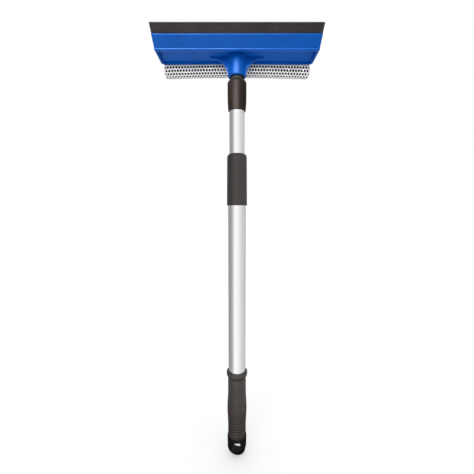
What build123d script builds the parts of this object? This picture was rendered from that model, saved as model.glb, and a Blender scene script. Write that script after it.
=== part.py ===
from build123d import *
import os
from math import cos, pi, radians, sin

# Telescopic window squeegee: a two-stage aluminium pole with a hand grip and a swivelling
# hang cap at the bottom, and a moulded head with a rubber blade in front and a netted
# sponge behind. Millimetres. The origin is the centre of the hang hole, on the pole's axis.
# +Z runs up the pole, the blade lies along X, in front (-Y), and the sponge behind (+Y).

# ---- Hang cap -------------------------------------------------------------------------
hang_hole_r = 7.2          # hole that goes over a hook
eye_r = 12.9               # outer radius of the eye round the hole
eye_thick = 11.5           # thickness of the eye, front to back
eye_edge = 1.6             # rounding of the eye's rim
hole_edge = 0.5            # chamfer at both ends of the hole
cup_r = 13.7               # round cup on top of the eye
cup_height = 4.0           # height of the cup's band
cup_top = 16.0             # height of the cup's rim above the hole's centre
snap_r = 4.2               # swivel stem that the cap snaps onto
snap_barb_r = 5.0          # barbed end of the stem
snap_barb = 2.4            # height of the barb
snap_slit = 1.4            # slit that lets the barb close
cap_floor = 1.5            # wall left between the stem's pocket and the hang hole
cap_turn = -12.0           # how far the cap stands turned on its swivel, about the pole

# ---- Pole -----------------------------------------------------------------------------
outer_od = 24.0
outer_wall = 1.0
outer_length = 391.6
inner_od = 20.0
inner_wall = 1.0
inner_length = 358.0
inner_showing = 55.3       # bare inner tube between the two black sleeves, as it stands

# ---- Hand grip ------------------------------------------------------------------------
grip_length = 97.3
grip_end_r = 13.1          # at the cap
grip_waist_r = 12.8        # slim waists below and above the palm swell
grip_swell_r = 13.85       # palm swell
grip_swell_at = 42.0       # height of the swell above the grip's lower end
grip_swell_half = 28.0     # half its length
grip_lip_r = 14.6          # flared lip at the top
grip_lip = 10.0            # height of the flare
lip_round = 1.0
rib_pitch = 4.3            # grooves round the grip
rib_groove = 1.1           # width of a groove
rib_depth = 0.35
rib_count = 17
rib_start = 5.0            # first groove above the grip's lower end

# ---- Sleeves and bushes ---------------------------------------------------------------
collar_length = 67.8       # black sleeve on the mouth of the outer tube
collar_low_r = 13.6
collar_high_r = 13.15
collar_dome = 4.5          # rounding of the sleeve's top edge
collar_edge = 0.4          # chamfer of its lower edge
collar_roof = 3.0          # thickness of the sleeve's inturned top
bush_flange = 1.2          # flange of the guide bush, on the tube's end
bush_length = 31.5         # part of the bush inside the tube
end_plug_length = 20.0     # part of the lower plug inside the tube
end_plug_flange = 3.2      # flange of the lower plug, under the tube's end
end_plug_wall = 2.0
run_fit = 0.05             # radial clearance of parts that slide or turn on each other
loose = 0.3                # clearance of parts that only pass each other

# ---- Inside lock ----------------------------------------------------------------------
plug_shank = 30.0          # part of the lock plug inside the inner tube
plug_flange = 3.0
plug_flange_r = 10.4
stud_r = 4.0               # threaded stud, taken at its crests
stud_grip = 18.0           # length of stud held in the plug
stud_free = 35.0           # length of stud below the plug
washer_r = 8.0
washer_thick = 0.8
sleeve_length = 19.0       # slotted sleeve that is spread against the outer tube
sleeve_bore_r = 4.4
sleeve_mouth_r = 8.5       # mouth of the sleeve's tapered bore
sleeve_taper = 12.0        # depth of the tapered bore
sleeve_taper_r = 5.5       # inner end of the taper
sleeve_slot = 1.7          # width of the four slots
sleeve_slot_length = 15.0
thread_pitch = 2.0         # travel of the cone nut in one turn of the pole
cone_height = 10.0
cone_play = 0.04           # left between cone and sleeve when the lock is tight
nut_flange = 4.0
nut_flange_r = 9.2
nut_hub = 3.5
nut_hub_r = 6.5
key_width = 1.3            # keys of the nut that run in the sleeve's slots
key_height = 7.0
key_r = 10.2
stop_af = 11.0             # hexagon nut that ends the stud
stop_height = 4.5
pin_r = 1.5                # cross pins through the inner tube's ends
pin_rim = 0.2              # how far a pin's ends lie below the tube's surface

# ---- Tip of the pole ------------------------------------------------------------------
tip_shank = 30.0           # part of the tip inside the inner tube
tip_flange = 2.0
tip_bore_r = 4.5           # hollow of the tip
neck_r = 7.0
neck_length = 14.0         # smooth neck above the flange
tip_thread_r = 9.0         # coarse thread for the head, taken at its crests
tip_thread = 18.0
tip_nose = 3.0             # plain tapered nose above the thread
tip_collar_length = 38.2   # black sleeve over the end of the inner tube
tip_collar_r = 12.35
tip_collar_low_r = 11.35
tip_collar_swell = 17.0    # height at which the sleeve is at its thickest
tip_shoulder = 4.0         # rounding of the sleeve's top
neck_ring_r = 7.9
neck_ring = 2.6            # height of the ring on the neck
neck_ring_gap = 1.2        # groove between the sleeve and the ring

# ---- Head -----------------------------------------------------------------------------
head_width = 200.0
mouth_gap = 4.3            # from the top of the tip's sleeve to the socket's mouth
socket_r = 11.85
socket_wall = 2.4
socket_depth = 20.6        # mouth to the fold line's height
socket_sunk = 0.85         # how far the socket's top reaches into the plate
mouth_round = 1.0
plate_thick = 2.6
plate_rear = 10.0          # rear edge of the plate behind the pole's axis
plate_front = 24.2         # fold line ahead of the axis
plate_break = 8.0          # line ahead of the axis behind which the plate slopes down
hollow = 6.6               # depth of the hollow under the plate, measured from the fold line
hollow_rear = 2.4          # its depth at the wall, where the sloping plate ends
lip_width = 2.4            # flat under the fold, in front of the hollow
lip_draft = 0.6            # slope of the lip's inner face
end_wall = 2.2             # walls that close the hollow at both ends
blade_angle = 38.0         # rise of the blade above the plate
jaw = 1.8                  # wall of each jaw of the blade holder
jaw_length = 18.0          # fold line to the jaw's lip
fold_round = 2.2
head_corner = 4.5          # rounding of its two rear corners, seen from above
fold_bead_r = 1.2          # bead along the foot of the blade holder
fold_bead_at = 1.7         # its centre, along the holder from the fold line
fold_bead_sunk = 0.3       # its centre, inside the holder's lower face
head_edge = 0.6            # rounding of the moulding's long edges
slot_start = 8.0           # fold line to the slot's bottom
rubber_thick = 2.0
rubber_reach = 28.6        # fold line to the rubber's working edge
rubber_play = 0.1
bead_r = 1.6               # bead along the rubber's root
wall_thick = 2.6           # wall that carries the sponge
wall_height = 28.1
rib_thick = 2.0            # gussets above the plate
rib_spacing = 30.0
rib_rise = 18.0
rib_hold = 13.0            # fold line to the gusset's end on the blade holder
fin_thick = 3.0            # webs beside the socket
fin_radius = 22.0          # hollow curve of their lower edges
fin_low = 1.2              # lower end of a web above the socket's mouth
fin_sunk = 1.0             # how far a web reaches into the socket and the plate

# ---- Sponge ---------------------------------------------------------------------------
sponge_width = 197.0
sponge_depth = 20.0
sponge_height = 46.0
sponge_drop = 11.35        # how far the sponge hangs below the fold line
sponge_gap = 2.5           # from the carrying wall to the sponge's face
sponge_round = 9.6
sponge_end = 1.6           # chamfer round the sponge's ends
net_thick = 0.6
rail_half = 8.0            # half the height of the backing strip
rail_rise = 5.45           # strip's centre above the sponge's
rail_flare = 1.0           # dovetail flare of the strip
rail_length = 190.0
rail_lip = 2.2             # how far the dovetail lips stand off the wall
rail_play = 0.15
lip_height = 2.6

# ---- Heights worked out along the pole ------------------------------------------------
outer_r = outer_od / 2
outer_bore_r = outer_r - outer_wall
inner_r = inner_od / 2
inner_bore_r = inner_r - inner_wall
grip_bottom = cup_top + 0.4
grip_top = grip_bottom + grip_length
outer_bottom = grip_bottom + end_plug_flange
outer_top = outer_bottom + outer_length
collar_top = outer_top + bush_flange + run_fit + collar_roof
tip_collar_bottom = collar_top + inner_showing
tip_collar_top = tip_collar_bottom + tip_collar_length
inner_top = tip_collar_top - tip_shoulder - 2.5 - tip_flange
inner_bottom = inner_top - inner_length
flange_bottom = inner_bottom - plug_flange
sleeve_top = flange_bottom - washer_thick - run_fit
sleeve_bottom = sleeve_top - sleeve_length
mouth_z = tip_collar_top + mouth_gap
plate_z = mouth_z + socket_depth
neck_top = inner_top + tip_flange + neck_length
tip_top = neck_top + tip_thread + tip_nose

os.makedirs("parts", exist_ok=True)


def finish(node, label):
    """Name a finished piece and write it as its own STEP file."""
    node.part.label = label
    export_step(node.part, f"parts/{label}.step")


# ---- Outer tube: plain drawn aluminium tube --------------------------------------------
with BuildPart() as outer_tube:
    with BuildSketch(Plane.XY.offset(outer_bottom)):
        Circle(outer_r)
        Circle(outer_bore_r, mode=Mode.SUBTRACT)
    extrude(amount=outer_length)
finish(outer_tube, "outer_tube")

# ---- Hand grip: soft sleeve with a palm swell, a flared lip and grooves all round -------
def grip_r(height):
    """Outer radius of the grip at a height above its lower end, below the lip."""
    radius = grip_waist_r
    if abs(height - grip_swell_at) < grip_swell_half:
        swell = cos(pi / 2 * (height - grip_swell_at) / grip_swell_half) ** 2
        radius += (grip_swell_r - grip_waist_r) * swell
    if height < grip_lip:
        radius += (grip_end_r - grip_waist_r) * (1 - height / grip_lip) ** 2
    return radius


with BuildPart() as grip:
    with BuildSketch(Plane.XZ):
        with BuildLine():
            side = [(grip_r(0), grip_bottom)]
            for i in range(rib_count):
                low = rib_start + i * rib_pitch
                high = low + rib_groove
                side += [(grip_r(low), grip_bottom + low), (grip_r(low) - rib_depth, grip_bottom + low),
                         (grip_r(high) - rib_depth, grip_bottom + high), (grip_r(high), grip_bottom + high)]
            flare_z = grip_top - grip_lip
            lands = Polyline(*side, (grip_waist_r, flare_z))
            flare = RadiusArc(lands @ 1, (grip_lip_r - 0.4, grip_top - 0.45 * grip_lip), -grip_lip)
            lip = Line(flare @ 1, (grip_lip_r, grip_top - lip_round))
            crown = TangentArc(lip @ 1, (grip_lip_r - lip_round, grip_top), tangent=(0, 1))
            Polyline(crown @ 1, (outer_r, grip_top), (outer_r, grip_bottom), lands @ 0)
        make_face()
    revolve(axis=Axis.Z)
finish(grip, "grip")

# ---- Sleeve on the tube's mouth: black moulding pushed over the outer tube --------------
with BuildPart() as outer_collar:
    with BuildSketch(Plane.XZ):
        with BuildLine():
            bottom = collar_top - collar_length
            side = Polyline((outer_r, bottom), (collar_low_r, bottom),
                            (collar_high_r, collar_top - collar_dome))
            dome = TangentArc(side @ 1, (collar_high_r - 0.62 * collar_dome, collar_top), tangent=(0, 1))
            Polyline(dome @ 1, (inner_r + loose, collar_top), (inner_r + loose, collar_top - collar_roof),
                     (outer_r, collar_top - collar_roof), (outer_r, bottom))
        make_face()
    revolve(axis=Axis.Z)
    chamfer(outer_collar.edges().filter_by(GeomType.CIRCLE).group_by(Axis.Z)[0].sort_by(SortBy.RADIUS)[-1],
            collar_edge)
finish(outer_collar, "outer_collar")

# ---- Guide bush: flanged bush in the tube's mouth that the inner tube runs in -----------
with BuildPart() as guide_bush:
    with BuildSketch(Plane.XY.offset(outer_top - bush_length)):
        Circle(outer_bore_r)
    extrude(amount=bush_length)
    with BuildSketch(Plane.XY.offset(outer_top)):
        Circle(outer_r - run_fit)
    extrude(amount=bush_flange)
    with BuildSketch(Plane.XY.offset(outer_top - bush_length)):
        Circle(inner_r + run_fit)
    extrude(amount=bush_length + bush_flange, mode=Mode.SUBTRACT)
finish(guide_bush, "guide_bush")

# ---- Lower plug: closes the outer tube and carries the cap on a split, barbed stem ------
stem_bottom = hang_hole_r + cap_floor + loose
with BuildPart() as end_plug:
    with BuildSketch(Plane.XY.offset(outer_bottom)):
        Circle(outer_bore_r)
    extrude(amount=end_plug_length)
    with BuildSketch(Plane.XY.offset(grip_bottom)):
        Circle(outer_r)
    extrude(amount=end_plug_flange)
    with BuildSketch(Plane.XY.offset(outer_bottom)):
        Circle(outer_bore_r - end_plug_wall)
    extrude(amount=end_plug_length, mode=Mode.SUBTRACT)
    with BuildSketch(Plane.XY.offset(grip_bottom)):
        Circle(snap_r)
    extrude(amount=stem_bottom - grip_bottom)
    with BuildSketch(Plane.XY.offset(stem_bottom + snap_barb)):
        Circle(snap_barb_r)
    extrude(amount=-snap_barb, taper=18)
    with BuildSketch(Plane.XY.offset(stem_bottom)):
        Rectangle(snap_slit, 4 * snap_r)
    extrude(amount=grip_bottom - stem_bottom, mode=Mode.SUBTRACT)
finish(end_plug, "end_plug")

# ---- Hang cap: round cup that turns on the plug's stem, with a flat eye below it --------
with BuildPart() as hang_cap:
    with BuildSketch(Plane.XZ):
        Circle(eye_r)
        with BuildLine():
            Polyline((-eye_r, 0), (eye_r, 0), (cup_r - 0.5, cup_top - cup_height / 2),
                     (0.5 - cup_r, cup_top - cup_height / 2), (-eye_r, 0))
        make_face()
    extrude(amount=eye_thick / 2, both=True)
    fillet(hang_cap.faces().filter_by(Axis.Y).edges().filter_by(lambda e: e.center().Z < cup_top / 2),
           eye_edge)
    with BuildSketch(Plane.XY.offset(cup_top - cup_height)):
        Circle(cup_r)
    extrude(amount=cup_height)
    chamfer(hang_cap.edges().filter_by(GeomType.CIRCLE).group_by(Axis.Z)[-1], 0.6)
    with BuildSketch(Plane.XZ):
        Circle(hang_hole_r)
    extrude(amount=eye_thick, both=True, mode=Mode.SUBTRACT)
    with BuildSketch(Plane.XY.offset(cup_top)):
        Circle(snap_r + run_fit)
    extrude(amount=stem_bottom - cup_top, mode=Mode.SUBTRACT)
    with BuildSketch(Plane.XY.offset(stem_bottom - loose)):
        Circle(snap_barb_r + loose)
    extrude(amount=snap_barb + 2 * loose, mode=Mode.SUBTRACT)
    chamfer(hang_cap.edges().filter_by(GeomType.CIRCLE)
            .filter_by(lambda e: abs(e.radius - hang_hole_r) < 0.01 and abs(e.center().Z) < 0.01), hole_edge)
with BuildPart() as turned_cap:
    add(hang_cap.part, rotation=(0, 0, cap_turn))
finish(turned_cap, "hang_cap")

# ---- Inner tube: slides in the guide bush ----------------------------------------------
tip_pin_z = inner_top - tip_shank / 2
plug_pin_z = inner_bottom + plug_shank - 6
with BuildPart() as inner_tube:
    with BuildSketch(Plane.XY.offset(inner_bottom)):
        Circle(inner_r)
        Circle(inner_bore_r, mode=Mode.SUBTRACT)
    extrude(amount=inner_length)
    with Locations((0, 0, tip_pin_z), (0, 0, plug_pin_z)):
        Cylinder(pin_r, inner_od + 2, rotation=(90, 0, 0), mode=Mode.SUBTRACT)
finish(inner_tube, "inner_tube")

# ---- Cross pins: hold the tip and the lock plug in the ends of the inner tube -----------
for pin_z, pin_name in ((tip_pin_z, "tip_pin"), (plug_pin_z, "plug_pin")):
    with BuildPart() as pin:
        with Locations((0, 0, pin_z)):
            Cylinder(pin_r, inner_od - 2 * pin_rim, rotation=(90, 0, 0))
        chamfer(pin.edges().filter_by(GeomType.CIRCLE), pin_rim)
    finish(pin, pin_name)

# ---- Lock plug: stopper in the lower end of the inner tube, holding the stud ------------
with BuildPart() as lock_plug:
    with BuildSketch(Plane.XY.offset(inner_bottom)):
        Circle(inner_bore_r)
    extrude(amount=plug_shank)
    chamfer(lock_plug.edges().group_by(Axis.Z)[-1], 0.8)
    with BuildSketch(Plane.XY.offset(flange_bottom)):
        Circle(plug_flange_r)
    extrude(amount=plug_flange)
    with BuildSketch(Plane.XY.offset(flange_bottom)):
        Circle(stud_r)
    extrude(amount=stud_grip, mode=Mode.SUBTRACT)
    with Locations((0, 0, plug_pin_z)):
        Cylinder(pin_r, inner_od, rotation=(90, 0, 0), mode=Mode.SUBTRACT)
finish(lock_plug, "lock_plug")

# ---- Stud: steel screw fixed in the lock plug, which draws the cone nut up --------------
stud_bottom = flange_bottom - stud_free
with BuildPart() as lock_stud:
    with BuildSketch(Plane.XY.offset(stud_bottom)):
        Circle(stud_r)
    extrude(amount=stud_free + stud_grip)
    chamfer(lock_stud.edges().group_by(Axis.Z)[0], 0.8)
finish(lock_stud, "lock_stud")

# ---- Thrust washer between the lock plug and the slotted sleeve ------------------------
with BuildPart() as lock_washer:
    with BuildSketch(Plane.XY.offset(flange_bottom - washer_thick)):
        Circle(washer_r)
        Circle(stud_r + run_fit, mode=Mode.SUBTRACT)
    extrude(amount=washer_thick)
finish(lock_washer, "lock_washer")

# ---- Slotted sleeve: rubs in the outer tube and is spread by the cone nut ---------------
with BuildPart() as lock_sleeve:
    with BuildSketch(Plane.XZ):
        with BuildLine():
            Polyline((sleeve_bore_r, sleeve_top), (outer_bore_r - run_fit, sleeve_top),
                     (outer_bore_r - run_fit, sleeve_bottom), (sleeve_mouth_r, sleeve_bottom),
                     (sleeve_taper_r, sleeve_bottom + sleeve_taper),
                     (sleeve_bore_r, sleeve_bottom + sleeve_taper), close=True)
        make_face()
    revolve(axis=Axis.Z)
    with BuildSketch(Plane.XY.offset(sleeve_bottom)):
        Rectangle(sleeve_slot, outer_od)
        Rectangle(outer_od, sleeve_slot)
    extrude(amount=sleeve_slot_length, mode=Mode.SUBTRACT)
finish(lock_sleeve, "lock_sleeve")

# ---- Cone nut: climbs the stud when the pole is twisted; its keys run in the slots ------
taper_slope = (sleeve_mouth_r - sleeve_taper_r) / sleeve_taper
cone_bottom = sleeve_bottom - thread_pitch - loose
cone_r = sleeve_mouth_r + taper_slope * loose - cone_play
nut_bottom = cone_bottom - nut_flange - nut_hub
with BuildPart() as cone_nut:
    with BuildSketch(Plane.XZ):
        with BuildLine():
            Polyline((0, nut_bottom), (nut_hub_r, nut_bottom), (nut_hub_r, nut_bottom + nut_hub),
                     (nut_flange_r, nut_bottom + nut_hub), (nut_flange_r, cone_bottom),
                     (cone_r, cone_bottom),
                     (cone_r - taper_slope * cone_height, cone_bottom + cone_height),
                     (0, cone_bottom + cone_height), close=True)
        make_face()
    revolve(axis=Axis.Z)
    with BuildSketch(Plane.XY.offset(cone_bottom - nut_flange)):
        Rectangle(key_width, 2 * key_r)
        Rectangle(2 * key_r, key_width)
    extrude(amount=nut_flange + key_height)
    with BuildSketch(Plane.XY.offset(nut_bottom)):
        Circle(stud_r + run_fit)
    extrude(amount=cone_bottom + cone_height - nut_bottom, mode=Mode.SUBTRACT)
finish(cone_nut, "cone_nut")

# ---- Stop nut: hexagon nut locked on the end of the stud -------------------------------
with BuildPart() as stop_nut:
    with BuildSketch(Plane.XY.offset(nut_bottom - loose - stop_height)):
        RegularPolygon(radius=stop_af / 2, side_count=6, major_radius=False)
        Circle(stud_r, mode=Mode.SUBTRACT)
    extrude(amount=stop_height)
finish(stop_nut, "stop_nut")

# ---- Threaded tip: plastic end piece in the top of the inner tube ----------------------
with BuildPart() as threaded_tip:
    with BuildSketch(Plane.XZ):
        with BuildLine():
            Polyline((tip_bore_r, inner_top - tip_shank), (inner_bore_r, inner_top - tip_shank),
                     (inner_bore_r, inner_top), (inner_r, inner_top), (inner_r, inner_top + tip_flange),
                     (neck_r, inner_top + tip_flange), (neck_r, neck_top),
                     (tip_thread_r, neck_top + tip_thread_r - neck_r), (tip_thread_r, tip_top - tip_nose),
                     (neck_r, tip_top), (0, tip_top), (0, tip_top - tip_nose),
                     (tip_bore_r, tip_top - 2 * tip_nose), close=True)
        make_face()
    revolve(axis=Axis.Z)
    with Locations((0, 0, tip_pin_z)):
        Cylinder(pin_r, inner_od, rotation=(90, 0, 0), mode=Mode.SUBTRACT)
finish(threaded_tip, "threaded_tip")

# ---- Tip sleeve: black moulding over the joint of tube and tip -------------------------
with BuildPart() as tip_collar:
    with BuildSketch(Plane.XZ):
        with BuildLine():
            belly = (tip_collar_r, tip_collar_bottom + tip_collar_swell)
            flank = TangentArc(belly, (tip_collar_low_r, tip_collar_bottom), tangent=(0, -1))
            side = Line(belly, (tip_collar_r, tip_collar_top - tip_shoulder))
            shoulder = TangentArc(side @ 1, (tip_collar_r - tip_shoulder, tip_collar_top), tangent=(0, 1))
            Polyline(shoulder @ 1, (neck_r + run_fit, tip_collar_top),
                     (neck_r + run_fit, inner_top + tip_flange), (inner_r, inner_top + tip_flange),
                     (inner_r, tip_collar_bottom), flank @ 1)
        make_face()
    revolve(axis=Axis.Z)
finish(tip_collar, "tip_collar")

# ---- Neck ring: grey friction ring on the neck, just inside the socket's mouth ----------
with BuildPart() as neck_ring_part:
    with BuildSketch(Plane.XY.offset(tip_collar_top + neck_ring_gap)):
        Circle(neck_ring_r)
        Circle(neck_r + run_fit, mode=Mode.SUBTRACT)
    extrude(amount=neck_ring)
    chamfer(neck_ring_part.edges().filter_by(GeomType.CIRCLE).sort_by(SortBy.RADIUS)[-2:], 0.5)
finish(neck_ring_part, "neck_ring")

# ---- Head: one blue moulding with plate, blade holder, socket, webs and sponge wall -----
rise = radians(blade_angle)
slot = rubber_thick + 2 * rubber_play
holder = 2 * jaw + slot
ceiling = plate_z + hollow
plate_top = ceiling + plate_thick
wall_front = plate_rear - wall_thick
wall_top = plate_z + wall_height


def on_blade(along, across):
    """A point of the blade holder's section, in Y and Z, measured from the fold line."""
    return (-plate_front - along * cos(rise) + across * sin(rise),
            plate_z + along * sin(rise) + across * cos(rise))


def lies_at(edge, point):
    """Whether an edge along X passes through a point of the section."""
    return abs(edge.center().Y - point[0]) < 0.01 and abs(edge.center().Z - point[1]) < 0.01


def bead_centre():
    """Centre of the bead's groove: it sits at the bottom of the slot."""
    return on_blade(slot_start + bead_r, holder / 2)


with BuildPart() as head_body:
    with BuildSketch(Plane.YZ):
        with BuildLine():
            root = (plate_top - plate_z - holder * cos(rise)) / sin(rise)
            Polyline((plate_rear, plate_z), (wall_front, plate_z), (wall_front, plate_z + hollow_rear),
                     (-plate_break, ceiling), (lip_width + lip_draft - plate_front, ceiling),
                     (lip_width - plate_front, plate_z), on_blade(0, 0), on_blade(jaw_length, 0),
                     on_blade(jaw_length, holder), on_blade(root, holder), (-plate_break, plate_top),
                     (wall_front, plate_z + hollow_rear + plate_thick), (wall_front, wall_top),
                     (plate_rear, wall_top), close=True)
        make_face()
    extrude(amount=head_width / 2, both=True)
    # End walls of the hollow under the plate.
    with BuildSketch(Plane.YZ.offset(head_width / 2 - end_wall)):
        Polygon((wall_front, plate_z), (wall_front, plate_z + hollow_rear), (-plate_break, ceiling),
                (lip_width + lip_draft - plate_front, ceiling), (lip_width - plate_front, plate_z),
                align=None)
    right_end = extrude(amount=end_wall)
    mirror(right_end, about=Plane.YZ)
    long_edges = head_body.edges().filter_by(Axis.X)
    fillet(long_edges.filter_by(lambda e: lies_at(e, on_blade(0, 0))), fold_round)
    # Outline seen from above, with its two rear corners rounded.
    with BuildSketch(Plane.XY.offset(plate_z)):
        with Locations((0, plate_rear - head_width / 2)):
            Rectangle(head_width, head_width)
        fillet(vertices().group_by(Axis.Y)[-1], head_corner)
    extrude(amount=head_width, mode=Mode.INTERSECT)
    rims = (on_blade(jaw_length, 0), on_blade(jaw_length, holder), (plate_rear, plate_z),
            (plate_rear, wall_top), (wall_front, wall_top), (lip_width - plate_front, plate_z))
    fillet(head_body.edges().filter_by(Axis.X).filter_by(
        lambda e: any(lies_at(e, rim) for rim in rims)), head_edge)
    with BuildSketch(Plane.YZ):
        with Locations(on_blade(fold_bead_at, fold_bead_sunk)):
            Circle(fold_bead_r)
    extrude(amount=head_width / 2, both=True)
    # Slot for the rubber, open at both ends, with a round groove for the bead at its bottom.
    with BuildSketch(Plane.YZ):
        with BuildLine():
            Polyline(on_blade(slot_start, jaw), on_blade(jaw_length + jaw, jaw),
                     on_blade(jaw_length + jaw, jaw + slot), on_blade(slot_start, jaw + slot), close=True)
        make_face()
        with Locations(bead_centre()):
            Circle(bead_r + rubber_play)
    extrude(amount=head_width, both=True, mode=Mode.SUBTRACT)
    # Dovetail lips on the back of the wall, which hold the sponge's backing strip.
    rail_z = plate_z - sponge_drop + sponge_height / 2 + rail_rise
    lip_root = rail_half + rail_flare + rail_play
    lip_edge = rail_half + rail_play
    with BuildSketch(Plane.YZ):
        with Locations((plate_rear, rail_z)):
            for side_sign in (1, -1):
                Polygon((0, side_sign * lip_root), (rail_lip, side_sign * lip_edge),
                        (rail_lip, side_sign * (lip_root + lip_height)),
                        (0, side_sign * (lip_root + lip_height)), align=None)
    extrude(amount=rail_length / 2, both=True)
    # Gussets between the blade holder and the wall, on top of the plate.
    with BuildSketch(Plane.YZ):
        with BuildLine():
            Polyline((wall_front, plate_z + hollow_rear + plate_thick), (wall_front, plate_z + rib_rise),
                     on_blade(rib_hold, holder), on_blade(root, holder), (-plate_break, plate_top),
                     close=True)
        make_face()
    gusset = extrude(amount=rib_thick / 2, both=True, mode=Mode.PRIVATE)
    with Locations(*[(i * rib_spacing, 0, 0) for i in (-3, -2, -1, 1, 2, 3)]):
        add(gusset)
    # Socket for the pole's threaded tip, which reaches up into the plate.
    with BuildSketch(Plane.XZ):
        with BuildLine():
            socket_top = ceiling + socket_sunk
            lip = TangentArc((socket_r - mouth_round, mouth_z), (socket_r, mouth_z + mouth_round),
                             tangent=(1, 0))
            Polyline(lip @ 1, (socket_r, socket_top), (0, socket_top), (0, mouth_z), lip @ 0)
        make_face()
    revolve(axis=Axis.Z)
    # Webs beside the socket, with hollow lower edges that sweep from the plate to the mouth.
    with BuildSketch(Plane.XZ):
        with BuildLine():
            fin_foot = (socket_r, mouth_z + fin_low)
            sweep_arc = TangentArc(fin_foot, (socket_r + fin_radius, mouth_z + fin_low + fin_radius),
                                   tangent=(0, 1))
            Polyline(sweep_arc @ 1, (socket_r + fin_radius, ceiling - fin_sunk),
                     (socket_r - fin_sunk, ceiling - fin_sunk), (socket_r - fin_sunk, mouth_z + fin_low),
                     fin_foot)
        make_face()
        mirror(about=Plane.YZ)
    extrude(amount=fin_thick / 2, both=True)
    with BuildSketch(Plane.XY.offset(mouth_z)):
        Circle(socket_r - socket_wall)
    extrude(amount=tip_top + loose - mouth_z, mode=Mode.SUBTRACT)
finish(head_body, "head_body")

# ---- Rubber blade: flat strip with a bead along its root, pushed into the slot ----------
with BuildPart() as blade_rubber:
    with BuildSketch(Plane.YZ):
        with BuildLine():
            low, high = jaw + rubber_play, jaw + rubber_play + rubber_thick
            Polyline(on_blade(slot_start + bead_r, low), on_blade(rubber_reach, low),
                     on_blade(rubber_reach, high), on_blade(slot_start + bead_r, high), close=True)
        make_face()
        with Locations(bead_centre()):
            Circle(bead_r)
    extrude(amount=head_width / 2, both=True)
finish(blade_rubber, "blade_rubber")

# ---- Sponge, its net and its backing strip ---------------------------------------------
sponge_face = plate_rear + sponge_gap
sponge_bottom = plate_z - sponge_drop
sponge_centre = (0, sponge_face + sponge_depth / 2, sponge_bottom + sponge_height / 2)

with BuildPart() as sponge:
    with Locations(sponge_centre):
        Box(sponge_width - 2 * net_thick, sponge_depth - 2 * net_thick, sponge_height - 2 * net_thick)
    fillet(sponge.edges().filter_by(Axis.X), sponge_round - net_thick)
    chamfer(sponge.edges().group_by(Axis.X)[0] + sponge.edges().group_by(Axis.X)[-1], sponge_end)
finish(sponge, "sponge")

# The net wraps the sponge all round and is caught at the window where the strip is bonded.
with BuildPart() as sponge_net:
    with Locations(sponge_centre):
        Box(sponge_width, sponge_depth, sponge_height)
    fillet(sponge_net.edges().filter_by(Axis.X), sponge_round)
    chamfer(sponge_net.edges().group_by(Axis.X)[0] + sponge_net.edges().group_by(Axis.X)[-1], sponge_end)
    add(sponge.part, mode=Mode.SUBTRACT)
    with BuildSketch(Plane.XZ.offset(-sponge_face + net_thick)):
        with Locations((0, rail_z)):
            Rectangle(rail_length, 2 * rail_half)
    extrude(amount=2 * net_thick, both=True, mode=Mode.SUBTRACT)
finish(sponge_net, "sponge_net")

# The strip is a dovetail that slides into the lips from the end; the sponge is bonded on it.
with BuildPart() as sponge_strip:
    with BuildSketch(Plane.YZ):
        with Locations((plate_rear, rail_z)):
            Polygon((rail_play, rail_half + rail_flare), (rail_lip, rail_half),
                    (sponge_gap + net_thick, rail_half), (sponge_gap + net_thick, -rail_half),
                    (rail_lip, -rail_half),
                    (rail_play, -rail_half - rail_flare), align=None)
    extrude(amount=rail_length / 2, both=True)
finish(sponge_strip, "sponge_strip")
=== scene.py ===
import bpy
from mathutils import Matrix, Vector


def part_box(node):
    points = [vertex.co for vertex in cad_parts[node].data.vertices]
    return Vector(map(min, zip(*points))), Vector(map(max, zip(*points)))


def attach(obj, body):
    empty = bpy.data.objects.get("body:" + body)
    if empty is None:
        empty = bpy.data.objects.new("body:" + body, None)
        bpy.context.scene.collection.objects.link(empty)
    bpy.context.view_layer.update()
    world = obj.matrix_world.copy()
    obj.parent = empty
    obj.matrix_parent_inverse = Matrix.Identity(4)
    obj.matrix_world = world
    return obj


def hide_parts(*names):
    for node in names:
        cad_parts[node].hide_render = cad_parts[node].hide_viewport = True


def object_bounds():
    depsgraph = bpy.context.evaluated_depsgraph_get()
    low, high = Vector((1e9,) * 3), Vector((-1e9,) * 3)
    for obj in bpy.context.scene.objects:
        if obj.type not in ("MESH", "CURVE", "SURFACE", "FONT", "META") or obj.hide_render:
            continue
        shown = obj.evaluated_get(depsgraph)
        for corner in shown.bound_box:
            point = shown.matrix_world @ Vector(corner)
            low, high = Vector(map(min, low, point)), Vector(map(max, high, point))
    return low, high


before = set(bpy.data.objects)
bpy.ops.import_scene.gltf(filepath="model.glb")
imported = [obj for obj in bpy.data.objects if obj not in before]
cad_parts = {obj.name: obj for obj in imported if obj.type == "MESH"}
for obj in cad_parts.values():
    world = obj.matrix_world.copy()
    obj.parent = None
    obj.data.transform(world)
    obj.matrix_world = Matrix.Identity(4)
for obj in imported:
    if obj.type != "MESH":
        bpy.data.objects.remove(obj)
cad_box = [list(corner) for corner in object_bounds()]

import bmesh
import bpy
from math import cos, pi, radians, sin, tau
from mathutils import Matrix, Vector, noise

# ---- Camera -----------------------------------------------------------------------------
# A wide lens close to the pole, at the height of the outer tube's upper half and tipped
# slightly down, so the head is seen from below and the hang cap from above.
camera = bpy.data.objects.new("camera", bpy.data.cameras.new("camera"))
bpy.context.scene.collection.objects.link(camera)
camera.data.sensor_width = 36
camera.data.lens = 22.03
camera.location = (0, -0.3953, 0.3414)
camera.rotation_euler = (radians(84.7), 0, 0)
bpy.context.scene.camera = camera
bpy.context.scene.view_settings.view_transform = "Standard"

# ---- Studio -----------------------------------------------------------------------------
# A white room lit evenly by the world, with a key lamp to the left, a fill lamp to the
# right and one from below, which the floor lets through. Gloss doesn't see the lamps: it
# mirrors open drums of light round the object, one for the pole and three for the head.


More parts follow.
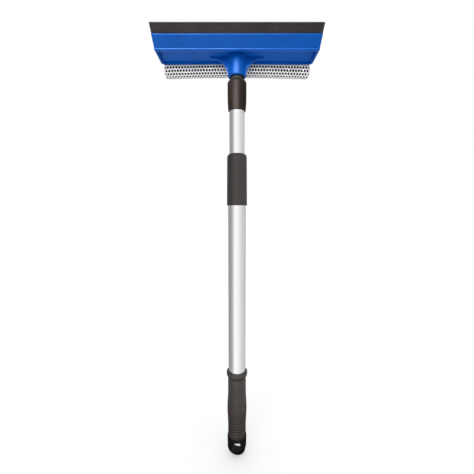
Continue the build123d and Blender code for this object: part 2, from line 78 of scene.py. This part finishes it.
def white_when_seen(tree, level):
    """Nodes that give 1 to the eye, in gloss and through glass, times level, and else 0."""
    rays = tree.nodes.new("ShaderNodeLightPath")
    either = tree.nodes.new("ShaderNodeMath")
    either.operation = "MAXIMUM"
    tree.links.new(rays.outputs["Is Camera Ray"], either.inputs[0])
    tree.links.new(rays.outputs["Is Glossy Ray"], either.inputs[1])
    any_of = tree.nodes.new("ShaderNodeMath")
    any_of.operation = "MAXIMUM"
    tree.links.new(either.outputs[0], any_of.inputs[0])
    tree.links.new(rays.outputs["Is Transmission Ray"], any_of.inputs[1])
    scaled = tree.nodes.new("ShaderNodeMath")
    scaled.operation = "MULTIPLY"
    scaled.inputs[1].default_value = level
    tree.links.new(any_of.outputs[0], scaled.inputs[0])
    return scaled.outputs[0]


world = bpy.data.worlds.new("studio")
bpy.context.scene.world = world
world.use_nodes = True
world_light, paper_white, paper_glow = 0.85, 0.84, 0.22
floor_gap, floor_half = 0.0003, 30.0
background = world.node_tree.nodes["Background"]
background.inputs["Color"].default_value = (1, 1, 1, 1)
room_level = world.node_tree.nodes.new("ShaderNodeMath")
room_level.operation = "ADD"
room_level.inputs[1].default_value = world_light
world.node_tree.links.new(white_when_seen(world.node_tree, 1 - world_light),
                          room_level.inputs[0])
world.node_tree.links.new(room_level.outputs[0], background.inputs["Strength"])

paper = bpy.data.materials.new("white_paper")
paper.use_nodes = True
paper_shader = paper.node_tree.nodes["Principled BSDF"]
paper_shader.inputs["Base Color"].default_value = (paper_white, paper_white, paper_white, 1)
paper_shader.inputs["Roughness"].default_value = 1.0
paper_shader.inputs["Specular IOR Level"].default_value = 0.0
paper_shader.inputs["Emission Color"].default_value = (1, 1, 1, 1)
paper.node_tree.links.new(white_when_seen(paper.node_tree, paper_glow),
                          paper_shader.inputs["Emission Strength"])
floor_mesh = bmesh.new()
ground = cad_box[0][2]
bmesh.ops.create_grid(floor_mesh, x_segments=1, y_segments=1, size=floor_half,
                      matrix=Matrix.Translation((0, 0, ground - floor_gap)))
floor = bpy.data.objects.new("floor", bpy.data.meshes.new("floor"))
floor_mesh.to_mesh(floor.data)
floor_mesh.free()
floor.data.materials.append(paper)
bpy.context.scene.collection.objects.link(floor)


def sun(name, azimuth, elevation, spread, strength):
    """A broad distant lamp; azimuth 0 shines from the front and 90 from the right."""
    lamp = bpy.data.lights.new(name, "SUN")
    lamp.angle, lamp.energy = radians(spread), strength
    holder = bpy.data.objects.new(name, lamp)
    bpy.context.scene.collection.objects.link(holder)
    turn, rise = radians(azimuth), radians(elevation)
    towards = Vector((sin(turn) * cos(rise), -cos(turn) * cos(rise), sin(rise)))
    holder.rotation_euler = towards.to_track_quat("Z", "Y").to_euler()
    holder.visible_glossy = False


sun("key_lamp", -18, 12, 40, 1.35)
sun("fill_lamp", 50, 6, 60, 0.55)
sun("bounce_lamp", -10, -50, 60, 0.7)
floor.visible_shadow = False

head_shown = bpy.data.collections.new("head_shown")
head_spared = bpy.data.collections.new("head_spared")


def of_head(*pieces):
    """Lets the gloss of these pieces see the head's drums, and not the pole's."""
    for piece in pieces:
        head_shown.objects.link(piece)
        head_spared.objects.link(piece)
    for member in head_spared.collection_objects:
        member.light_linking.link_state = "EXCLUDE"


def surround(name, radius, low, high, strength, stops, shown, bottom=False, clear=False):
    """An open drum round the object that polished surfaces reflect, and nothing else.

    Each stop is an azimuth, 0 in front and 90 to the right, and a level of grey there. A
    clear drum adds its light to what stands behind it.
    """
    mesh = bmesh.new()
    bmesh.ops.create_cone(mesh, cap_ends=False, segments=96, radius1=radius,
                          radius2=radius, depth=high - low,
                          matrix=Matrix.Translation((0, 0, (low + high) / 2)))
    if bottom:
        bmesh.ops.create_circle(mesh, cap_ends=True, segments=96, radius=radius,
                                matrix=Matrix.Translation((0, 0, low)))
    drum = bpy.data.objects.new(name, bpy.data.meshes.new(name))
    mesh.to_mesh(drum.data)
    mesh.free()
    tone = bpy.data.materials.new(name)
    tone.use_nodes = True
    tree = tone.node_tree
    place = tree.nodes.new("ShaderNodeTexCoord")
    turn = tree.nodes.new("ShaderNodeMapping")
    turn.inputs["Rotation"].default_value = (0, 0, pi / 2)
    around = tree.nodes.new("ShaderNodeTexGradient")
    around.gradient_type = "RADIAL"
    ramp = tree.nodes.new("ShaderNodeValToRGB")
    ramp.color_ramp.interpolation = "B_SPLINE"
    for index, (azimuth, level) in enumerate(stops):
        spot = azimuth / 360 + 0.5
        steps = ramp.color_ramp.elements
        step = steps[index] if index < 2 else steps.new(spot)
        step.position = spot
        step.color = (level, level, level, 1)
    tree.links.new(place.outputs["Object"], turn.inputs["Vector"])
    tree.links.new(turn.outputs["Vector"], around.inputs["Vector"])
    tree.links.new(around.outputs["Fac"], ramp.inputs["Fac"])
    glow = tree.nodes.new("ShaderNodeEmission")
    glow.inputs["Strength"].default_value = strength
    tree.links.new(ramp.outputs["Color"], glow.inputs["Color"])
    surface = glow.outputs["Emission"]
    if clear:
        both = tree.nodes.new("ShaderNodeAddShader")
        through = tree.nodes.new("ShaderNodeBsdfTransparent")
        tree.links.new(surface, both.inputs[0])
        tree.links.new(through.outputs["BSDF"], both.inputs[1])
        surface = both.outputs["Shader"]
    tree.links.new(surface, tree.nodes["Material Output"].inputs["Surface"])
    tree.nodes.remove(tree.nodes["Principled BSDF"])
    tone.cycles.emission_sampling = "NONE"
    drum.data.materials.append(tone)
    bpy.context.scene.collection.objects.link(drum)
    drum.visible_camera = drum.visible_diffuse = drum.visible_shadow = False
    drum.visible_transmission = False
    drum.light_linking.receiver_collection = shown


head_nodes = ("head_body", "blade_rubber", "sponge_strip", "neck_ring", "tip_collar")
of_head(*(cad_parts[node] for node in head_nodes))
surround("pole_drum", 0.115, ground, 1.25, 1.16,
         ((-180, 0.32), (180, 0.32), (-125, 0.30), (-85, 0.30), (-58, 0.42), (-38, 0.85),
          (-18, 1.0), (0, 0.93), (30, 0.76), (60, 0.64), (95, 0.56), (130, 0.5)),
         head_spared, bottom=True, clear=True)
surround("low_drum", 0.5, ground + 0.0001, 0.45, 1.0,
         ((-180, 0.5), (180, 0.5), (-50, 1.05), (-10, 0.95), (8, 0.75), (25, 0.4),
          (45, 0.1), (90, 0.1)),
         head_shown, bottom=True)
surround("horizon_drum", 0.5, 0.45, 0.69, 42.0,
         ((-180, 0.003), (180, 0.003), (-90, 0.003), (-40, 0.003), (-32, 1.0), (-8, 1.0),
          (5, 0.65), (13, 0.15), (22, 0.003), (90, 0.003)),
         head_shown)
surround("upper_drum", 0.5, 0.69, 1.7, 12.0,
         ((-180, 0.01), (180, 0.01), (-90, 0.01), (-34, 0.02), (-26, 1.0), (0, 1.0),
          (16, 0.8), (24, 0.3), (32, 0.02), (90, 0.01)),
         head_shown)

# ---- Outer tube -------------------------------------------------------------------------
# The lower half of the pole, a drawn aluminium tube with a clear satin anodised skin. The
# drawing leaves faint straight lines along it.


def srgb(red, green, blue):
    """The shader's colour for one given as 0 to 255 per channel."""
    def linear(level):
        level /= 255
        return level / 12.92 if level <= 0.04045 else ((level + 0.055) / 1.055) ** 2.4
    return (linear(red), linear(green), linear(blue), 1.0)


def new_finish(name, colour, roughness, metallic=0.0, gloss=0.5):
    """A plain finish that the calls below give its grain, shade and relief."""
    finish = bpy.data.materials.new(name)
    finish.use_nodes = True
    shader = finish.node_tree.nodes["Principled BSDF"]
    shader.inputs["Base Color"].default_value = colour
    shader.inputs["Roughness"].default_value = roughness
    shader.inputs["Metallic"].default_value = metallic
    shader.inputs["Specular IOR Level"].default_value = gloss
    return finish


def grain(finish, scale, detail=3.0, stretch=(1, 1, 1), uv=False):
    """A noise pattern with scale grains a metre; returns its socket, from 0 to 1."""
    tree = finish.node_tree
    place = tree.nodes.new("ShaderNodeTexCoord")
    fit = tree.nodes.new("ShaderNodeMapping")
    fit.inputs["Scale"].default_value = stretch
    pattern = tree.nodes.new("ShaderNodeTexNoise")
    pattern.inputs["Scale"].default_value = scale
    pattern.inputs["Detail"].default_value = detail
    tree.links.new(place.outputs["UV" if uv else "Object"], fit.inputs["Vector"])
    tree.links.new(fit.outputs["Vector"], pattern.inputs["Vector"])
    return pattern.outputs["Fac"]


def shade(finish, pattern, dark, light, low=0.35, high=0.65):
    """Base colour from dark to light where the pattern runs from low to high."""
    tree = finish.node_tree
    ramp = tree.nodes.new("ShaderNodeValToRGB")
    ramp.color_ramp.elements[0].position = low
    ramp.color_ramp.elements[1].position = high
    ramp.color_ramp.elements[0].color = dark
    ramp.color_ramp.elements[1].color = light
    tree.links.new(pattern, ramp.inputs["Fac"])
    tree.links.new(ramp.outputs["Color"],
                   tree.nodes["Principled BSDF"].inputs["Base Color"])


def polish(finish, pattern, smooth, rough):
    """Roughness from smooth to rough over the middle of the pattern."""
    tree = finish.node_tree
    span = tree.nodes.new("ShaderNodeMapRange")
    span.inputs["From Min"].default_value = 0.3
    span.inputs["From Max"].default_value = 0.7
    span.inputs["To Min"].default_value = smooth
    span.inputs["To Max"].default_value = rough
    tree.links.new(pattern, span.inputs["Value"])
    tree.links.new(span.outputs["Result"],
                   tree.nodes["Principled BSDF"].inputs["Roughness"])


def relief(finish, pattern, depth, strength=1.0):
    """Raises the surface by the pattern, depth metres from 0 to 1."""
    tree = finish.node_tree
    bump = tree.nodes.new("ShaderNodeBump")
    bump.inputs["Distance"].default_value = depth
    bump.inputs["Strength"].default_value = strength
    tree.links.new(pattern, bump.inputs["Height"])
    shader = tree.nodes["Principled BSDF"]
    if shader.inputs["Normal"].is_linked:
        before = shader.inputs["Normal"].links[0].from_socket
        tree.links.new(before, bump.inputs["Normal"])
    tree.links.new(bump.outputs["Normal"], shader.inputs["Normal"])


def dress(finish, *nodes):
    """Puts a finish on these CAD nodes."""
    for node in nodes:
        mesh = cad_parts[node].data
        for index in range(max(1, len(mesh.materials))):
            if index < len(mesh.materials):
                mesh.materials[index] = finish
            else:
                mesh.materials.append(finish)


aluminium = new_finish("satin_aluminium", srgb(240, 240, 242), 0.18, metallic=1.0)
draw_lines = grain(aluminium, 1400, detail=4, stretch=(1, 1, 0.006))
shade(aluminium, grain(aluminium, 500, detail=2, stretch=(1, 1, 0.01)),
      srgb(236, 236, 238), srgb(245, 245, 246))
polish(aluminium, draw_lines, 0.14, 0.23)
relief(aluminium, draw_lines, 0.000006)
dress(aluminium, "outer_tube")

# ---- Guide bush and end plug ------------------------------------------------------------
# Natural acetal mouldings pressed into the outer tube: the bush guides the inner tube at
# the mouth, and the plug closes the foot and carries the hang cap's stub.
natural = new_finish("natural_acetal", srgb(226, 223, 212), 0.42)
shade(natural, grain(natural, 60), srgb(219, 216, 203), srgb(230, 228, 219))
polish(natural, grain(natural, 300), 0.34, 0.5)
relief(natural, grain(natural, 2200, detail=1), 0.00001)
dress(natural, "guide_bush", "end_plug", "lock_plug", "lock_sleeve", "sponge_strip")

# ---- Grip -------------------------------------------------------------------------------
# A soft black rubber sleeve with fine rings, pulled over the foot of the outer tube. It
# swells to fill the hand and ends in a raised lip.
grip_lo, grip_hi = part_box("grip")
grip_bore = (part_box("outer_tube")[1].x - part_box("outer_tube")[0].x) / 2
grip_lip_r = grip_hi.x
grip_waist_r, grip_swell, grip_foot = 0.0128, 0.00105, 0.0003
swell_middle, swell_half = 0.042, 0.028
lip_height, lip_round, foot_height = 0.010, 0.001, 0.010
flare_share = 0.55
ring_first, ring_pitch, ring_count = 0.00555, 0.0043, 17
ring_wide, ring_deep = 0.0019, 0.0005
grip_height = grip_hi.z - grip_lo.z


def grip_radius(height):
    """Outer radius of the grip at a height above its foot."""
    radius = grip_waist_r
    if abs(height - swell_middle) < swell_half:
        radius += grip_swell * cos(pi / 2 * (height - swell_middle) / swell_half) ** 2
    if height < foot_height:
        radius += grip_foot * (1 - height / foot_height) ** 2
    below = grip_height - height
    if below < lip_height:
        flare = min(1, (1 - below / lip_height) / flare_share)
        radius += (grip_lip_r - grip_waist_r) * (3 - 2 * flare) * flare ** 2
    if below < lip_round:
        radius -= lip_round * (1 - (1 - (1 - below / lip_round) ** 2) ** 0.5)
    ring = (height - ring_first) % ring_pitch
    ring = min(ring, ring_pitch - ring)
    in_rings = -ring_wide < height - ring_first < ring_wide + ring_pitch * (ring_count - 1)
    if in_rings and ring < ring_wide / 2:
        radius -= ring_deep * cos(pi * ring / ring_wide) ** 2
    return radius


grip = bmesh.new()
grip_steps, grip_turns = 480, 72
side = [grip.verts.new((grip_radius(grip_height * step / grip_steps), 0,
                        grip_lo.z + grip_height * step / grip_steps))
        for step in range(grip_steps + 1)]
side += [grip.verts.new((grip_bore, 0, grip_hi.z)), grip.verts.new((grip_bore, 0, grip_lo.z))]
outline = [grip.edges.new(pair) for pair in zip(side, side[1:] + side[:1])]
bmesh.ops.spin(grip, geom=side + outline, axis=(0, 0, 1), cent=(0, 0, 0), angle=tau,
               steps=grip_turns, use_merge=True)
bmesh.ops.remove_doubles(grip, verts=grip.verts, dist=0.000001)
bmesh.ops.recalc_face_normals(grip, faces=grip.faces)
grip_sleeve = bpy.data.objects.new("grip_sleeve", bpy.data.meshes.new("grip_sleeve"))
grip.to_mesh(grip_sleeve.data)
grip.free()
for face in grip_sleeve.data.polygons:
    face.use_smooth = abs(face.normal.z) < 0.95
bpy.context.scene.collection.objects.link(grip_sleeve)
grip_rubber = new_finish("grip_rubber", srgb(43, 36, 33), 0.4, gloss=0.75)
shade(grip_rubber, grain(grip_rubber, 90), srgb(40, 33, 30), srgb(46, 39, 36))
polish(grip_rubber, grain(grip_rubber, 500), 0.36, 0.5)
relief(grip_rubber, grain(grip_rubber, 3200, detail=2), 0.00002)
grip_sleeve.data.materials.append(grip_rubber)
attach(grip_sleeve, "pole")
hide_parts("grip")

# ---- Hang cap ---------------------------------------------------------------------------
# A glossier black moulding that turns on the end plug, with an eye to hang the pole from.
cap_black = new_finish("cap_black", srgb(21, 18, 16), 0.3, gloss=0.2)
shade(cap_black, grain(cap_black, 110), srgb(18, 15, 13), srgb(24, 20, 19))
polish(cap_black, grain(cap_black, 700), 0.26, 0.38)
relief(cap_black, grain(cap_black, 1800, detail=2), 0.000012)
dress(cap_black, "hang_cap")

# ---- Collars ----------------------------------------------------------------------------
# Black moulded sleeves: a satin one holds the guide bush at the outer tube's mouth, and a
# duller one holds the threaded tip in the inner tube's end.
sleeve_black = new_finish("sleeve_black", srgb(29, 22, 19), 0.45, gloss=0.75)
shade(sleeve_black, grain(sleeve_black, 70), srgb(26, 19, 16), srgb(32, 25, 22))
polish(sleeve_black, grain(sleeve_black, 600), 0.4, 0.5)
relief(sleeve_black, grain(sleeve_black, 2600, detail=2), 0.00003)
dress(sleeve_black, "outer_collar")
tip_sleeve_black = new_finish("tip_sleeve_black", srgb(36, 30, 27), 0.45, gloss=0.09)
shade(tip_sleeve_black, grain(tip_sleeve_black, 70), srgb(33, 27, 24), srgb(39, 33, 30))
polish(tip_sleeve_black, grain(tip_sleeve_black, 600), 0.42, 0.52)
relief(tip_sleeve_black, grain(tip_sleeve_black, 2600, detail=2), 0.00003)
dress(tip_sleeve_black, "tip_collar")

# ---- Inner tube and twist lock ----------------------------------------------------------
# The upper half of the pole slides in the outer tube. Its foot carries a stud with a cone
# that spreads the slotted sleeve when the tube is twisted, and its top the threaded tip.
dress(aluminium, "inner_tube")
zinc = new_finish("zinc_steel", srgb(196, 197, 196), 0.34, metallic=1.0)
shade(zinc, grain(zinc, 260), srgb(186, 187, 186), srgb(206, 207, 208))
polish(zinc, grain(zinc, 900), 0.26, 0.42)
relief(zinc, grain(zinc, 1500), 0.000008)
dress(zinc, "lock_stud", "lock_washer", "stop_nut", "plug_pin", "tip_pin")
grey = new_finish("grey_plastic", srgb(70, 75, 74), 0.5, gloss=0.14)
shade(grey, grain(grey, 90), srgb(66, 71, 70), srgb(75, 80, 79))
polish(grey, grain(grey, 500), 0.42, 0.58)
relief(grey, grain(grey, 2400, detail=2), 0.00002)
dress(grey, "neck_ring", "cone_nut")
tip_black = new_finish("tip_black", srgb(20, 15, 14), 0.4, gloss=0.3)
shade(tip_black, grain(tip_black, 90), srgb(18, 13, 12), srgb(23, 18, 17))
polish(tip_black, grain(tip_black, 500), 0.34, 0.48)
relief(tip_black, grain(tip_black, 2400, detail=2), 0.00002)
dress(tip_black, "threaded_tip")

# ---- Head moulding ----------------------------------------------------------------------
# One blue moulding with the blade holder, the plate, the wall with its dovetail and the
# screwed socket with webs beside it, in semi-gloss plastic.
blue = new_finish("blue_plastic", srgb(1, 78, 166), 0.34, gloss=0.32)
shade(blue, grain(blue, 35, detail=2), srgb(1, 75, 161), srgb(2, 81, 171))
polish(blue, grain(blue, 260), 0.28, 0.4)
relief(blue, grain(blue, 2000, detail=2), 0.000014)
blue.node_tree.nodes["Principled BSDF"].inputs["Specular Tint"].default_value = (
    0.6, 0.9, 1.0, 1.0)
dress(blue, "head_body")

# ---- Blade rubber -----------------------------------------------------------------------
# A flat strip of black rubber, cut straight, with a bead that slides into the holder.
blade_black = new_finish("blade_rubber", srgb(42, 38, 37), 0.56, gloss=0.2)
shade(blade_black, grain(blade_black, 40, detail=4), srgb(38, 34, 33),
      srgb(46, 42, 41))
polish(blade_black, grain(blade_black, 300), 0.48, 0.66)
relief(blade_black, grain(blade_black, 2600, detail=2, stretch=(0.3, 1, 1)), 0.00002)
dress(blade_black, "blade_rubber")

# ---- Sponge -----------------------------------------------------------------------------
# A block of dark open-cell foam with rounded long edges, glued to the strip that slides on
# the dovetail. The net presses it slightly in.
foam_lo, foam_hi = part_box("sponge_net")
net_wall = 0.0006
foam_edge, foam_end = 0.009, 0.0026
foam_slices, foam_levels, foam_press = 96, 14, 0.0003
foam = bmesh.new()
foam_size = foam_hi - foam_lo - Vector((2, 2, 2)) * net_wall
bmesh.ops.create_cube(foam, size=1.0)
bmesh.ops.scale(foam, vec=foam_size, verts=foam.verts)
long_edges = [edge for edge in foam.edges
              if abs(edge.verts[0].co.x - edge.verts[1].co.x) > 0.1]
bmesh.ops.bevel(foam, geom=long_edges, offset=foam_edge, segments=7, profile=0.5,
                affect="EDGES", material=-1)
end_edges = [edge for edge in foam.edges if abs(edge.verts[0].co.x - edge.verts[1].co.x)
             < 1e-6 and len(edge.link_faces) == 2
             and any(len(face.verts) > 4 for face in edge.link_faces)]
bmesh.ops.bevel(foam, geom=end_edges, offset=foam_end, segments=3, profile=0.5,
                affect="EDGES", material=-1)
foam_middle = (foam_lo + foam_hi) / 2
bmesh.ops.translate(foam, vec=foam_middle, verts=foam.verts)
for step in range(2, foam_slices - 1):
    at = foam_lo.x + step * (foam_hi.x - foam_lo.x) / foam_slices
    bmesh.ops.bisect_plane(foam, geom=foam.verts[:] + foam.edges[:] + foam.faces[:],
                           plane_co=(at, 0, 0), plane_no=(1, 0, 0))
for level in range(1, foam_levels):
    at = foam_lo.z + foam_edge + level * (foam_hi.z - foam_lo.z - 2 * foam_edge) / foam_levels
    bmesh.ops.bisect_plane(foam, geom=foam.verts[:] + foam.edges[:] + foam.faces[:],
                           plane_co=(0, 0, at), plane_no=(0, 0, 1))
droop_middle, droop_ends = 0.0007, 0.0013


def drooped(at):
    """A point of the sponge or net moved down where its ends hang; the top keeps still."""
    share = (foam_hi.z - at.z) / (foam_hi.z - foam_lo.z)
    out = (at.x / foam_hi.x) ** 2
    return at + Vector((0, 0, share * (droop_middle - (droop_middle + droop_ends) * out)))


foam.normal_update()
for vert in foam.verts:
    press = 0.5 + 0.5 * noise.noise(vert.co * 90)
    vert.co = drooped(vert.co - vert.normal * foam_press * press)
sponge = bpy.data.objects.new("foam_block", bpy.data.meshes.new("foam_block"))
foam.to_mesh(sponge.data)
foam.free()
for face in sponge.data.polygons:
    face.use_smooth = True
bpy.context.scene.collection.objects.link(sponge)
of_head(sponge)
foam_dark = new_finish("dark_foam", srgb(10, 8, 8), 0.9, gloss=0.2)
# The cell pattern colours the pits of the foam's cells darker than their rims, where the
# relief sinks them: painted shade in the pores, over the foam's own dark tone.
cells = foam_dark.node_tree.nodes.new("ShaderNodeTexVoronoi")
cells.inputs["Scale"].default_value = 1100
foam_place = foam_dark.node_tree.nodes.new("ShaderNodeTexCoord")
foam_dark.node_tree.links.new(foam_place.outputs["Object"], cells.inputs["Vector"])
shade(foam_dark, cells.outputs["Distance"], srgb(4, 3, 3), srgb(16, 13, 14), 0.1, 0.6)
relief(foam_dark, cells.outputs["Distance"], 0.0004)
sponge.data.materials.append(foam_dark)
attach(sponge, "head")
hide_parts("sponge")

# ---- Net --------------------------------------------------------------------------------
# White knitted netting drawn tight round the foam as a sleeve. Its open ends are folded in
# over the foam's ends and pressed together there, and it is cut away behind the strip.
net_deep, net_tall, net_edge = 0.020, 0.046, 0.0096
net_girth = 2 * (net_deep + net_tall) - (8 - tau) * net_edge
courses, wales = 28, 54
stitch_wide, stitch_tall = 0.00387, net_girth / courses
eye_wide, eye_tall = 0.0029, 0.0034
net_crown, net_thick = 0.00014, 0.00038
net_hem, end_round = 0.0022, 0.003
strip_middle = (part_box("sponge_strip")[0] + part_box("sponge_strip")[1]) / 2
strip_wales, strip_courses = 25, 2
same_spot = 0.00001


def lay(into, part, at_x, at_y):
    """Adds a copy of a small flat mesh at this place of a larger one."""
    before = len(into.verts)
    into.from_mesh(part)
    into.verts.ensure_lookup_table()
    bmesh.ops.translate(into, vec=(at_x, at_y, 0), verts=into.verts[before:])


def kept(mesh, name):
    """Ends a bmesh and returns it as mesh data."""
    data = bpy.data.meshes.new(name)
    mesh.to_mesh(data)
    mesh.free()
    return data


def stitch():
    """One cell: a brick-shaped outline joined by twelve faces to an oval eye."""
    mesh = bmesh.new()
    outline = bmesh.ops.create_grid(mesh, x_segments=4, y_segments=2, size=0.5)["verts"]
    bmesh.ops.scale(mesh, vec=(stitch_wide, stitch_tall, 1), verts=outline)
    inside = [vert for vert in outline if len(vert.link_faces) == 4]
    bmesh.ops.delete(mesh, geom=inside, context="VERTS")
    bmesh.ops.delete(mesh, geom=mesh.faces[:], context="FACES_ONLY")
    eye = bmesh.ops.create_circle(mesh, segments=12, radius=0.5)["verts"]
    bmesh.ops.scale(mesh, vec=(eye_wide, eye_tall, 1), verts=eye)
    bmesh.ops.translate(mesh, vec=(0, 0, -net_crown), verts=eye)
    bmesh.ops.bridge_loops(mesh, edges=mesh.edges[:])
    return kept(mesh, "stitch")


def half_stitch():
    """A plain half cell, without an eye, that fills the end of every other course."""
    mesh = bmesh.new()
    bmesh.ops.create_grid(mesh, x_segments=2, y_segments=2, size=0.5)
    bmesh.ops.scale(mesh, vec=(stitch_wide / 2, stitch_tall, 1), verts=mesh.verts)
    return kept(mesh, "half_stitch")


whole, half = stitch(), half_stitch()
net = bmesh.new()
for course in range(courses):
    level = (course + 0.5 - courses / 2) * stitch_tall
    shifted = course % 2
    for wale in range(wales - shifted):
        across = (wale + 0.5 + shifted / 2 - wales / 2) * stitch_wide
        behind_strip = (abs(level) < strip_courses * stitch_tall
                        and abs(across) < (strip_wales - 0.25) * stitch_wide)
        if not behind_strip:
            lay(net, whole, across, level)
    if shifted:
        for side in (-1, 1):
            lay(net, half, side * (wales / 2 - 0.25) * stitch_wide, level)
bmesh.ops.remove_doubles(net, verts=net.verts, dist=same_spot)
for side in (-1, 1):
    reach = side * wales / 2 * stitch_wide
    rim = [edge for edge in net.edges
           if all(abs(vert.co.x - reach) < 1e-6 for vert in edge.verts)]
    grown = bmesh.ops.extrude_edge_only(net, edges=rim)["geom"]
    grown = [item for item in grown if isinstance(item, bmesh.types.BMVert)]
    bmesh.ops.translate(net, vec=(side * net_hem, 0, 0), verts=grown)
cloth_place = net.loops.layers.uv.new("cloth")
for face in net.faces:
    for loop in face.loops:
        loop[cloth_place].uv = loop.vert.co.xy


def round_section(along):
    """The place on the foam's rounded outline, across and up, along it from its foot."""
    spot = Vector((-net_deep / 2, -net_tall / 2 + net_edge))
    ahead, right = Vector((0, 1)), Vector((1, 0))
    along %= net_girth
    for side in (net_tall, net_deep, net_tall, net_deep):
        straight = side - 2 * net_edge
        if along <= straight:
            return spot + ahead * along
        along, spot = along - straight, spot + ahead * straight
        if along <= net_edge * pi / 2:
            turn = along / net_edge
            return spot + net_edge * (right * (1 - cos(turn)) + ahead * sin(turn))
        along, spot = along - net_edge * pi / 2, spot + net_edge * (right + ahead)
        ahead, right = right, -ahead
    return spot


foot_to_strip = strip_middle.z - (foam_lo.z + net_edge)
end_start = foam_hi.x - end_round
for vert in net.verts:
    on = round_section(vert.co.y + foot_to_strip)
    spine = Vector((0, max(-1, min(1, on.y / (net_tall - net_deep) * 2))
                    * (net_tall - net_deep) / 2))
    past, high = abs(vert.co.x) - end_start, vert.co.z
    if past <= 0:
        reach, inset = abs(vert.co.x), -high
    elif past < end_round * pi / 2:
        turn = past / end_round
        reach = end_start + (end_round + high) * sin(turn)
        inset = end_round - (end_round + high) * cos(turn)
    else:
        reach, inset = foam_hi.x + high, end_round + past - end_round * pi / 2
    on = spine + (on - spine) * (1 - inset / (net_deep / 2))
    side = 1 if vert.co.x > 0 else -1
    vert.co = drooped(foam_middle + Vector((side * reach, on.x, on.y)))
bmesh.ops.remove_doubles(net, verts=net.verts, dist=same_spot)
bmesh.ops.recalc_face_normals(net, faces=net.faces)
outer = max(net.faces, key=lambda face: face.calc_center_median().y)
if outer.normal.y < 0:
    bmesh.ops.reverse_faces(net, faces=net.faces)
netting = bpy.data.objects.new("net_sleeve", kept(net, "net_sleeve"))
for face in netting.data.polygons:
    face.use_smooth = True
wall = netting.modifiers.new("wall", "SOLIDIFY")
wall.thickness, wall.offset = net_thick, -1
bpy.context.scene.collection.objects.link(netting)
of_head(netting)
net_white = new_finish("net_white", srgb(240, 237, 238), 0.55)
shade(net_white, grain(net_white, 300, uv=True), srgb(244, 240, 241), srgb(251, 249, 249))
relief(net_white, grain(net_white, 4000, detail=2, uv=True), 0.00008)
netting.data.materials.append(net_white)
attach(netting, "head")
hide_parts("sponge_net")
